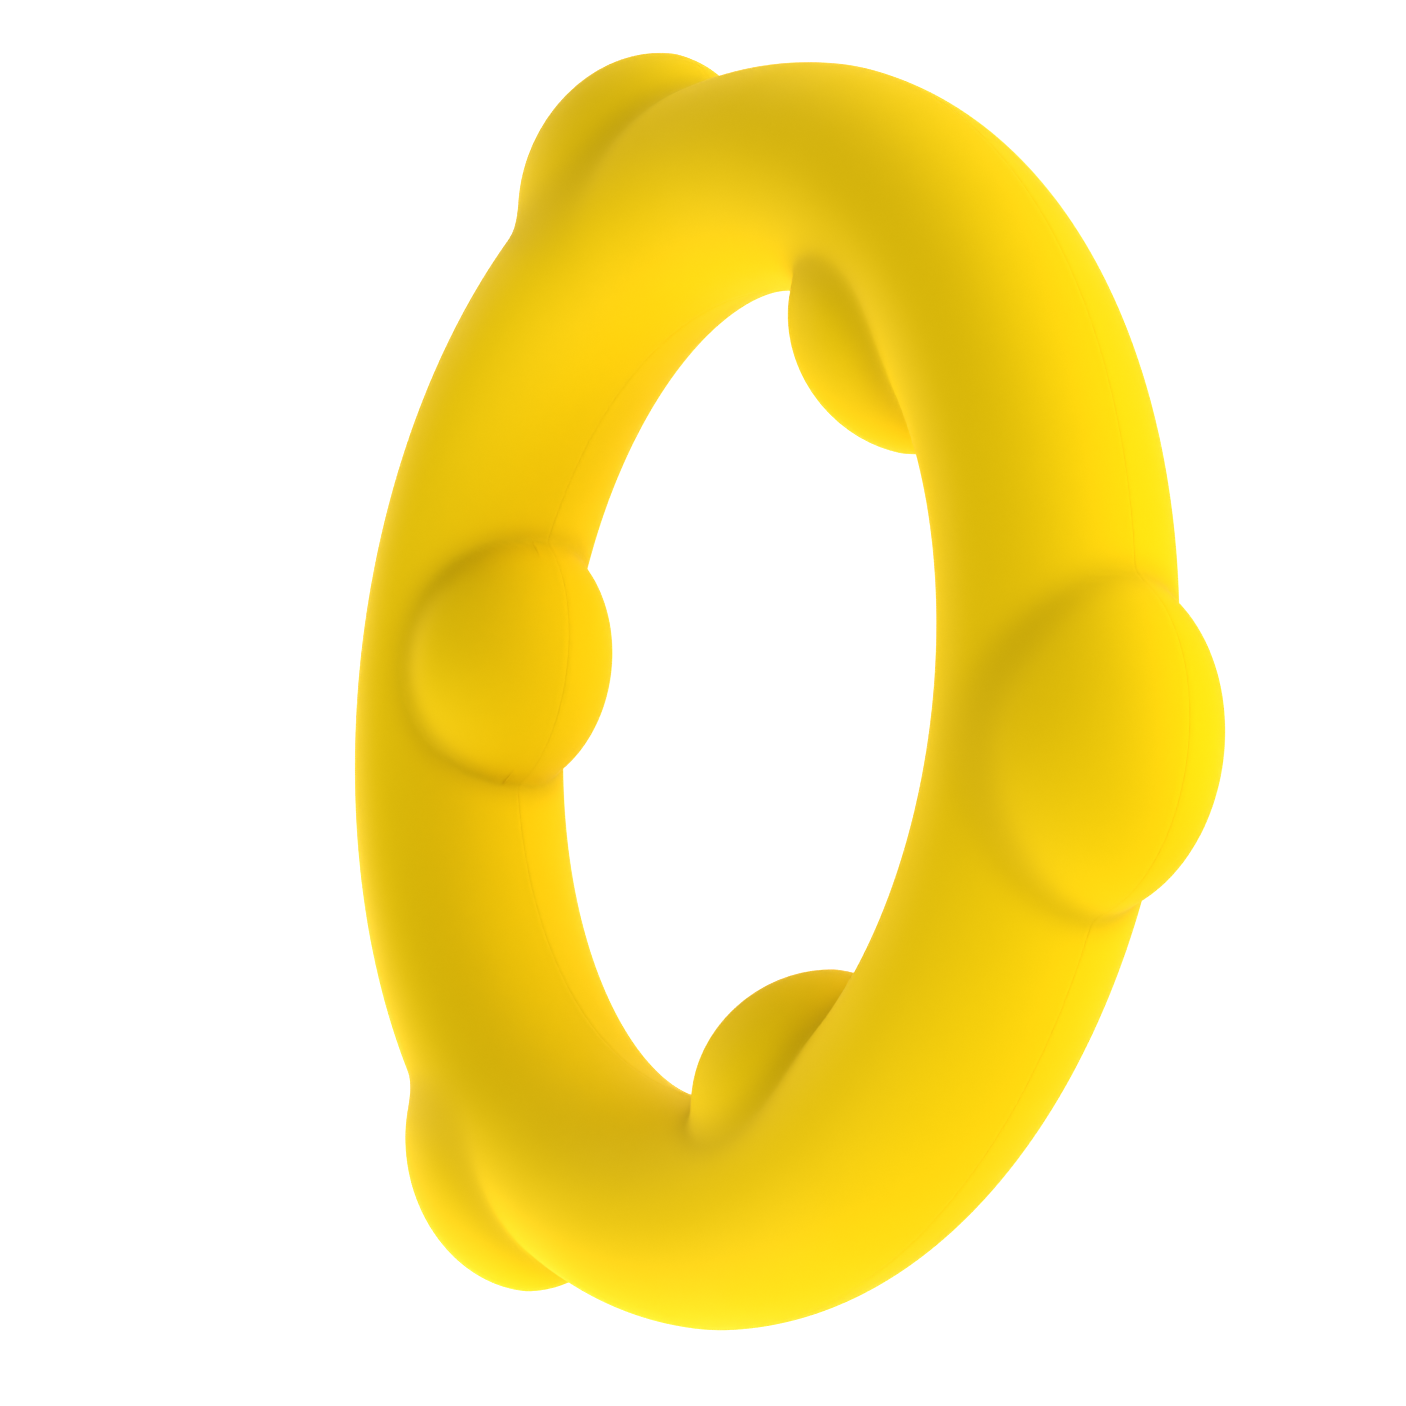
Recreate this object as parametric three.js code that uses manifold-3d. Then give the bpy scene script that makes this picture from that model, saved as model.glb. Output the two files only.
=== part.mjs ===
// A hollow throwing ring of round section with rounded nodules, lying flat.
// It is moulded as two half shells that meet at the mid-plane, where a tongue on the lower half sits in a
// groove in the upper half. Millimetres. +Z is the ring's axis, and +X runs through an outer nodule.
import * as THREE from "three";
import { mergeVertices } from "three/addons/utils/BufferGeometryUtils.js";
import Module from "manifold-3d";

const wasm = await Module();
wasm.setup();

// Driving dimensions
const centrelineRadius = 70; // from the ring's axis to the middle of its section
const sectionRadius = 15.1; // of the ring's round section
const wall = 3; // thickness of the moulded skin, even all round

// Nodules are half-buried ellipsoids. proud is how far one stands out of the section, and the other three
// sizes are its half widths along the ring's radius, along its rim and along its axis.
const nodulesOfEachKind = 3;
const outerNodule = { proud: 11.6, radial: 18.6, along: 21.6, axial: 14.7 };
const innerNodule = { proud: 12, radial: 14.9, along: 18.9, axial: 14.5 };

// Joint between the halves
const clearance = 0.3; // between the two halves, on every face of the joint
const tongueHeight = 2.2; // above the mid-plane
const tongueThickness = 1; // across the wall, in its middle
const tongueRoot = 1; // depth to which the tongue is one with the lower wall

// Facets of the round shapes
const skinFacets = { section: 24, rim: 84, nodule: 20 };
const hollowFacets = { section: 12, rim: 60, nodule: 12 };

const moulding = { color: 0xfcd520, roughness: 0.55, metalness: 0 };

// A closed three.js geometry as a solid that can be joined and cut.
function solidOf(geometry) {
  const bare = geometry.clone();
  bare.deleteAttribute("normal");
  bare.deleteAttribute("uv");
  const merged = mergeVertices(bare, 1e-4);
  return new wasm.Manifold(
    new wasm.Mesh({
      numProp: 3,
      vertProperties: merged.attributes.position.array,
      triVerts: new Uint32Array(merged.index.array),
    }),
  );
}

// One nodule at an angle round the ring, with its surface set in by inset. side is 1 outside and -1 inside.
function noduleSolid(nodule, side, angle, inset, facets) {
  const centre = centrelineRadius + side * (sectionRadius + nodule.proud - nodule.radial);
  const ellipsoid = new THREE.SphereGeometry(1, facets.nodule, facets.nodule / 2)
    .rotateX(Math.PI / 2)
    .scale(nodule.radial - inset, nodule.along - inset, nodule.axial - inset)
    .translate(centre, 0, 0)
    .rotateZ(angle);
  return solidOf(ellipsoid);
}

// The whole ring as one solid, with its surface set in by inset from the outside of the skin.
function ringSolid(inset, facets) {
  const section = sectionRadius - inset;
  let ring = solidOf(new THREE.TorusGeometry(centrelineRadius, section, facets.section, facets.rim));
  const pitch = (2 * Math.PI) / nodulesOfEachKind;
  for (let i = 0; i < nodulesOfEachKind; i++) {
    ring = ring.add(noduleSolid(outerNodule, 1, i * pitch, inset, facets));
    ring = ring.add(noduleSolid(innerNodule, -1, (i + 0.5) * pitch, inset, facets));
  }
  return ring;
}

// Everything between two heights, wider and taller than the ring.
const reach = centrelineRadius + sectionRadius + outerNodule.proud + outerNodule.radial;
function slab(low, high) {
  const box = new THREE.BoxGeometry(2 * reach, 2 * reach, high - low);
  return solidOf(box.translate(0, 0, (low + high) / 2));
}

// A band in the middle of the wall, grown by play on its sides and on top: the tongue, or its groove.
function bandInWall(play) {
  const depth = (wall - tongueThickness) / 2;
  const sleeve = ringSolid(depth - play, skinFacets).subtract(
    ringSolid(depth + tongueThickness + play, skinFacets),
  );
  return sleeve.intersect(slab(-tongueRoot, tongueHeight + play));
}

function meshOf(solid, name) {
  const { vertProperties, triVerts } = solid.getMesh();
  const geometry = new THREE.BufferGeometry()
    .setAttribute("position", new THREE.BufferAttribute(vertProperties, 3))
    .setIndex(new THREE.BufferAttribute(triVerts, 1));
  geometry.computeVertexNormals();
  const mesh = new THREE.Mesh(geometry, new THREE.MeshStandardMaterial(moulding));
  mesh.name = name;
  return mesh;
}

const shell = ringSolid(0, skinFacets).subtract(ringSolid(wall, hollowFacets));
const halfGap = clearance / 2;
const upperHalf = shell.intersect(slab(halfGap, reach)).subtract(bandInWall(clearance));
const lowerHalf = shell.intersect(slab(-reach, -halfGap)).add(bandInWall(0));

const ring = new THREE.Group();
ring.add(meshOf(upperHalf, "upper_half_shell"), meshOf(lowerHalf, "lower_half_shell"));

export default ring;
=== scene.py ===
import math

import bpy
import numpy as np
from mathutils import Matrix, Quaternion, Vector


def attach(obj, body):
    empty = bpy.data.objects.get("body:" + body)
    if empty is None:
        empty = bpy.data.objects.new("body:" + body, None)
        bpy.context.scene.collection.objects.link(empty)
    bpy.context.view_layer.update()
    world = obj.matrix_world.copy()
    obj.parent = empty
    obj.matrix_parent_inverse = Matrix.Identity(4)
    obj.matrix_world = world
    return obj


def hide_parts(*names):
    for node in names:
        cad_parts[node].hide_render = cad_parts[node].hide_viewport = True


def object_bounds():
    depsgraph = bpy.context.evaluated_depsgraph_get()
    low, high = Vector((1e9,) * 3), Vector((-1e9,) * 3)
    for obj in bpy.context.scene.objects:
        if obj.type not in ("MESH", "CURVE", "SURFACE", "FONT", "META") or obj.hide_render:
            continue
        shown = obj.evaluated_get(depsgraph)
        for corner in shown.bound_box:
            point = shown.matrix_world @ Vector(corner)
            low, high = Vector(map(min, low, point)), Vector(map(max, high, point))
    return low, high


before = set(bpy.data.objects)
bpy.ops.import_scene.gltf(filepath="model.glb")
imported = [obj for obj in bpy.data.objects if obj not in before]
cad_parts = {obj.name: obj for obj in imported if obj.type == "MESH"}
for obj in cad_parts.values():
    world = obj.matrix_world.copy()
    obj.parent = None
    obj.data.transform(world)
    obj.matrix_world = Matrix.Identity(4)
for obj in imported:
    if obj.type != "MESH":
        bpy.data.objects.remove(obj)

cadLow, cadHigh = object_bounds()
mm = 0.001

# The ring lies flat round +Z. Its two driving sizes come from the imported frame.
sectionRadius = cadHigh.z
centrelineRadius = -cadLow.x - sectionRadius

ring = {
    "wall": 3 * mm,
    "fillet": 2.4 * mm,          # rolled corner where a nodule leaves the ring
    "paintedShadeWidth": 2.2 * mm,       # reach of the painted shade that darkens the corner beside a nodule
    "partingRidge": 0.36 * mm,   # the two mould halves meet in a low ridge round the mid-plane
    "partingFade": 5 * mm,       # distance over which that ridge runs out
    "partingGap": 0.008 * mm,    # half the open line between the halves
    "partingEdge": 0.03 * mm,    # rounding of each half beside the line
    "stepsRound": 600,
    "stepsSkin": 84,
    "stepsHollow": 20,
}

# Half-buried ellipsoids: proud is how far one stands out, the rest are its half widths.
nodulePitch = math.radians(120)
nodules = [
    {"side": 1, "firstAngle": 0, "proud": cadHigh.x - centrelineRadius - sectionRadius,
     "radial": 18.6 * mm, "along": 21.6 * mm, "axial": 14.7 * mm},
    {"side": -1, "firstAngle": math.radians(60), "proud": 12 * mm,
     "radial": 14.9 * mm, "along": 18.9 * mm, "axial": 14.5 * mm},
]

# The tongue of the lower half and its groove in the upper half: depths below the skin, and height.
joint = {
    "groove": {"near": 0.7 * mm, "far": 2.3 * mm, "top": 2.5 * mm},
    "tongue": {"near": 1 * mm, "far": 2 * mm, "top": -2.2 * mm},
}


def linear(hexColour):
    channels = [int(hexColour[i:i + 2], 16) / 255 for i in (1, 3, 5)]
    return [c / 12.92 if c <= 0.04045 else ((c + 0.055) / 1.055) ** 2.4 for c in channels] + [1]


def socketNamed(sockets, name):
    # the Mix node has several sockets of one name, of which one is in use
    return next(s for s in sockets if s.name == name and s.enabled)


def addNode(tree, kind, settings, links):
    # settings are properties or unlinked inputs, and links map an input to (node, output)
    node = tree.nodes.new(kind)
    for name, value in settings.items():
        if hasattr(node, name):
            setattr(node, name, value)
        else:
            socketNamed(node.inputs, name).default_value = value
    for name, (source, output) in links.items():
        tree.links.new(socketNamed(source.outputs, output), socketNamed(node.inputs, name))
    return node


def smoothMax(a, b, width):
    # the larger of two distances, with the corner between them rounded over width
    overlap = np.clip(width - np.abs(a - b), 0, None)
    return np.maximum(a, b) + overlap ** 2 / (4 * width)


def noduleCentre(nodule):
    # its distance from the ring's axis
    return centrelineRadius + nodule["side"] * (sectionRadius + nodule["proud"] - nodule["radial"])


def turnFrom(nodule, theta):
    # angle round the ring from the nearest nodule of this kind
    return (theta - nodule["firstAngle"] + nodulePitch / 2) % nodulePitch - nodulePitch / 2


def noduleReach(nodule, theta, phi, inset):
    # from the centreline to the far side of the nearest nodule of this kind, or 0 if the ray misses it
    turn = turnFrom(nodule, theta)
    centre = noduleCentre(nodule)
    start = [centrelineRadius * np.cos(turn) - centre, centrelineRadius * np.sin(turn), 0 * turn]
    ray = [np.cos(phi) * np.cos(turn), np.cos(phi) * np.sin(turn), np.sin(phi)]
    halfWidths = [nodule[name] - inset for name in ("radial", "along", "axial")]
    start = [s / w for s, w in zip(start, halfWidths)]
    ray = [r / w for r, w in zip(ray, halfWidths)]
    a = sum(r * r for r in ray)
    b = sum(r * s for r, s in zip(ray, start))
    c = sum(s * s for s in start) - 1
    root = b * b - a * c
    return np.where(root > 0, (-b + np.sqrt(np.abs(root))) / a, 0)


def skinRadius(theta, phi, inset=0):
    # from the centreline to the surface, at an angle theta round the ring and phi round its section
    radius = sectionRadius - inset
    for nodule in nodules:
        radius = smoothMax(radius, noduleReach(nodule, theta, phi, inset), ring["fillet"])
    if inset == 0:
        height = np.abs(np.sin(phi)) * radius
        radius = radius + ring["partingRidge"] * np.exp(-height / ring["partingFade"])
    return radius


def paintedCreaseShade(x, y, z):
    # painted shade in the corner between a nodule and the ring: 1 where a point is on both surfaces, fading
    # to 0 beside it
    depth = 0 * x
    rho = np.hypot(x, y)
    aboveRing = np.hypot(rho - centrelineRadius, z) - sectionRadius
    for nodule in nodules:
        turn = turnFrom(nodule, np.arctan2(y, x))
        offset = [rho * np.cos(turn) - noduleCentre(nodule), rho * np.sin(turn), z]
        halfWidths = [nodule[name] for name in ("radial", "along", "axial")]
        stretch = np.sqrt(sum((o / w) ** 2 for o, w in zip(offset, halfWidths)))
        slope = np.sqrt(sum((o / w ** 2) ** 2 for o, w in zip(offset, halfWidths)))
        aboveNodule = stretch * (stretch - 1) / slope   # close to the true distance near the surface
        away = np.hypot(aboveRing, aboveNodule) / ring["paintedShadeWidth"]
        depth = np.maximum(depth, np.exp(-away ** 2))
    return depth


def halfShell(name, up, band):
    # one closed half: skin, rounded parting edges, tongue or groove, and the hollow inside
    count = ring["stepsRound"]
    theta = np.linspace(0, 2 * math.pi, count, endpoint=False).reshape(-1, 1)
    gap, edge, wall = ring["partingGap"], ring["partingEdge"], ring["wall"]

    def sweep(inset, lift, steps):
        # an arc round the section, from the outer wall to the inner wall
        first = np.arcsin(lift / skinRadius(theta, 0 * theta, inset))
        last = math.pi - np.arcsin(lift / skinRadius(theta, 0 * theta + math.pi, inset))
        phi = first + (last - first) * np.linspace(0, 1, steps + 1).reshape(1, -1)
        radius = skinRadius(theta, phi, inset)
        return centrelineRadius + radius * np.cos(phi), radius * np.sin(phi)

    def rim(side, depths, heights):
        # points near the mid-plane, at these depths below the skin and these heights
        reach = skinRadius(theta, 0 * theta + (0 if side > 0 else math.pi))
        across = centrelineRadius + side * (reach - np.array(depths).reshape(1, -1))
        return across, 0 * across + np.array(heights).reshape(1, -1)

    corner = 0.3 * edge   # middle of the rounded edge
    edgeDepths, edgeHeights = [edge, corner], [gap, gap + corner]
    bandDepths = [band["near"], band["near"], band["far"], band["far"], wall]
    bandHeights = [gap, band["top"], band["top"], gap, gap]
    skinParts = (rim(1, edgeDepths, edgeHeights), sweep(0, gap + edge, ring["stepsSkin"]),
                 rim(-1, edgeDepths[::-1], edgeHeights[::-1]))
    skin = [np.concatenate(parts, axis=1) for parts in zip(*skinParts)]
    hollow = [part[:, ::-1] for part in sweep(wall, gap + edge, ring["stepsHollow"])]
    # the skin and the hollow are smooth, and the faces of the joint between them are flat
    stretches = [(skin, True), (rim(-1, bandDepths, bandHeights), False),
                 (hollow, True), (rim(1, bandDepths[::-1], bandHeights[::-1]), False)]
    across = np.concatenate([part[0] for part, smooth in stretches], axis=1)
    height = np.concatenate([part[1] for part, smooth in stretches], axis=1) * up
    rounded = np.concatenate([[smooth] * (part[0].shape[1] - 1) + [False] for part, smooth in stretches])
    points = np.stack([across * np.cos(theta), across * np.sin(theta), height], axis=-1)

    around = points.shape[1]
    here = np.arange(count).reshape(-1, 1) * around + np.arange(around)
    nextStep = np.roll(here, -1, axis=0)
    quads = np.stack([here, nextStep, np.roll(nextStep, -1, axis=1), np.roll(here, -1, axis=1)], axis=-1)
    if up < 0:
        quads = quads[..., ::-1]
    mesh = bpy.data.meshes.new(name)
    mesh.from_pydata(points.reshape(-1, 3).tolist(), [], quads.reshape(-1, 4).tolist())
    mesh.polygons.foreach_set("use_smooth", np.tile(rounded, count))
    # how much painted shade each point gets in the creases beside the nodules
    depth = paintedCreaseShade(*np.moveaxis(points, -1, 0))
    mesh.attributes.new("paintedShadeMask", "FLOAT", "POINT").data.foreach_set("value", depth.ravel())
    mesh.update()
    piece = bpy.data.objects.new(name, mesh)
    bpy.context.collection.objects.link(piece)
    return piece


def mattMouldedRubber():
    # soft rubber from a spark-textured mould: matt and self-coloured, so it has no clear highlight
    look = {
        "colour": "#E7C307",
        "denseColour": "#E3BE07",   # where the pigment lies a little denser
        "paintedShadeColour": "#D5B208",    # painted shade: a darker yellow laid into the creases beside the nodules, where shade falls
        "flow": 24 * mm,            # size of the faint clouds left by the rubber's flow
        "grain": 0.5 * mm,          # real spark texture is about 0.1 mm, too fine to show, so drawn coarser
        "grainDepth": 0.008 * mm,
        "roughness": (0.6, 0.7),    # handled places are a little smoother
        "sheen": 0.02,              # next to none, so that the yellow stays clear up to the edges
    }
    material = bpy.data.materials.new("mattMouldedYellowRubber")
    material.use_nodes = True
    tree = material.node_tree
    tree.nodes.clear()
    place = addNode(tree, "ShaderNodeTexCoord", {}, {})
    clouds = addNode(tree, "ShaderNodeTexNoise", {"Scale": 1 / look["flow"], "Detail": 3, "Roughness": 0.5},
                     {"Vector": (place, "Object")})
    colour = addNode(tree, "ShaderNodeMix",
                     {"data_type": "RGBA", "A": linear(look["colour"]), "B": linear(look["denseColour"])},
                     {"Factor": (clouds, "Fac")})
    # painted shade: the colour is darkened in the creases beside the nodules
    paintedShadeMask = addNode(tree, "ShaderNodeAttribute", {"attribute_name": "paintedShadeMask"}, {})
    paintedShadeMix = addNode(tree, "ShaderNodeMix", {"data_type": "RGBA", "B": linear(look["paintedShadeColour"])},
                    {"Factor": (paintedShadeMask, "Fac"), "A": (colour, "Result")})
    low, high = look["roughness"]
    polish = addNode(tree, "ShaderNodeMapRange",
                     {"From Min": 0.35, "From Max": 0.65, "To Min": low, "To Max": high},
                     {"Value": (clouds, "Fac")})
    grain = addNode(tree, "ShaderNodeTexNoise", {"Scale": 1 / look["grain"], "Detail": 2},
                    {"Vector": (place, "Object")})
    bump = addNode(tree, "ShaderNodeBump", {"Distance": look["grainDepth"], "Strength": 1},
                   {"Height": (grain, "Fac")})
    shader = addNode(tree, "ShaderNodeBsdfPrincipled", {"IOR": 1.45, "Specular IOR Level": look["sheen"]},
                     {"Base Color": (paintedShadeMix, "Result"), "Roughness": (polish, "Result"),
                      "Normal": (bump, "Normal")})
    addNode(tree, "ShaderNodeOutputMaterial", {}, {"Surface": (shader, "BSDF")})
    return material


def litOpalFloor():
    # opal acrylic lit evenly from below, which gives the eye a plain white ground without a shadow
    table = {"width": 6, "colour": "#A0A09F", "glow": 1.13}
    half = table["width"] / 2
    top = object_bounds()[0].z   # where the ring touches it
    mesh = bpy.data.meshes.new("lightTable")
    corners = [(x * half, y * half, top) for x, y in ((-1, -1), (1, -1), (1, 1), (-1, 1))]
    mesh.from_pydata(corners, [], [(0, 1, 2, 3)])
    floor = bpy.data.objects.new("lightTable", mesh)
    bpy.context.collection.objects.link(floor)
    material = bpy.data.materials.new("litOpalAcrylic")
    material.use_nodes = True
    shader = material.node_tree.nodes["Principled BSDF"]
    shader.inputs["Base Color"].default_value = linear(table["colour"])
    shader.inputs["Roughness"].default_value = 0.6
    shader.inputs["Emission Color"].default_value = linear("#FFFFFF")
    shader.inputs["Emission Strength"].default_value = table["glow"]
    mesh.materials.append(material)


softboxes = [
    # azimuth is measured from +X towards +Y, and light is what reaches a surface that faces the box
    {"name": "key", "azimuth": 240, "elevation": 27, "size": (0.9, 0.9), "light": 1.16},
    {"name": "fill", "azimuth": 30, "elevation": 27, "size": (0.9, 0.9), "light": 0.36},
    {"name": "lowBack", "azimuth": 180, "elevation": 8, "size": (0.9, 0.3), "light": 0.3},
    {"name": "lowFront", "azimuth": 0, "elevation": 8, "size": (0.9, 0.3), "light": 0.26},
    {"name": "lowFar", "azimuth": 120, "elevation": 8, "size": (0.9, 0.3), "light": 0.25},
]
softboxDistance = 1.1
roomLight = 0.34   # even light from the studio's pale walls


def studio():
    world = bpy.data.worlds.new("paleStudio")
    world.use_nodes = True
    room = world.node_tree.nodes["Background"]
    room.inputs["Color"].default_value = (1, 1, 1, 1)
    room.inputs["Strength"].default_value = roomLight
    bpy.context.scene.world = world
    bpy.context.scene.view_settings.view_transform = "Standard"
    for box in softboxes:
        azimuth, elevation = math.radians(box["azimuth"]), math.radians(box["elevation"])
        away = Vector((math.cos(azimuth) * math.cos(elevation), math.sin(azimuth) * math.cos(elevation),
                       math.sin(elevation)))
        light = bpy.data.lights.new(box["name"], "AREA")
        light.shape = "RECTANGLE"
        light.size, light.size_y = box["size"]
        light.energy = box["light"] * (math.pi * softboxDistance) ** 2
        lamp = bpy.data.objects.new(box["name"], light)
        lamp.location = away * softboxDistance
        lamp.rotation_mode = "QUATERNION"
        lamp.rotation_quaternion = (-away).to_track_quat("-Z", "Y")
        lamp.visible_camera = False
        bpy.context.collection.objects.link(lamp)


def camera():
    # azimuth 0 looks along +Y; roll turns the picture about the line of sight
    view = {"azimuth": 91.04, "elevation": 34.1, "roll": -83.6, "distance": 746.3 * mm, "lens": 141.8,
            "aim": Vector((-2.3 * mm, -1.9 * mm, 3.5 * mm))}
    azimuth, elevation = math.radians(view["azimuth"]), math.radians(view["elevation"])
    back = Vector((math.sin(azimuth) * math.cos(elevation), -math.cos(azimuth) * math.cos(elevation),
                   math.sin(elevation)))
    data = bpy.data.cameras.new("camera")
    data.lens = view["lens"]
    data.sensor_width = 36
    data.clip_start, data.clip_end = 0.05, 50
    eye = bpy.data.objects.new("camera", data)
    eye.location = view["aim"] + back * view["distance"]
    eye.rotation_mode = "QUATERNION"
    roll = Quaternion((0, 0, 1), math.radians(view["roll"]))
    eye.rotation_quaternion = (-back).to_track_quat("-Z", "Y") @ roll
    bpy.context.collection.objects.link(eye)
    bpy.context.scene.camera = eye


camera()
print("camera set")
rubber = mattMouldedRubber()
for name, node, up, band in (("upperHalf", "upper_half_shell", 1, "groove"),
                             ("lowerHalf", "lower_half_shell", -1, "tongue")):
    piece = halfShell(name, up, joint[band])
    piece.data.materials.append(rubber)
    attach(piece, "root")
    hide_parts(node)
    print(name, "made with", len(piece.data.polygons), "faces")
litOpalFloor()
studio()
print("floor and lights set")
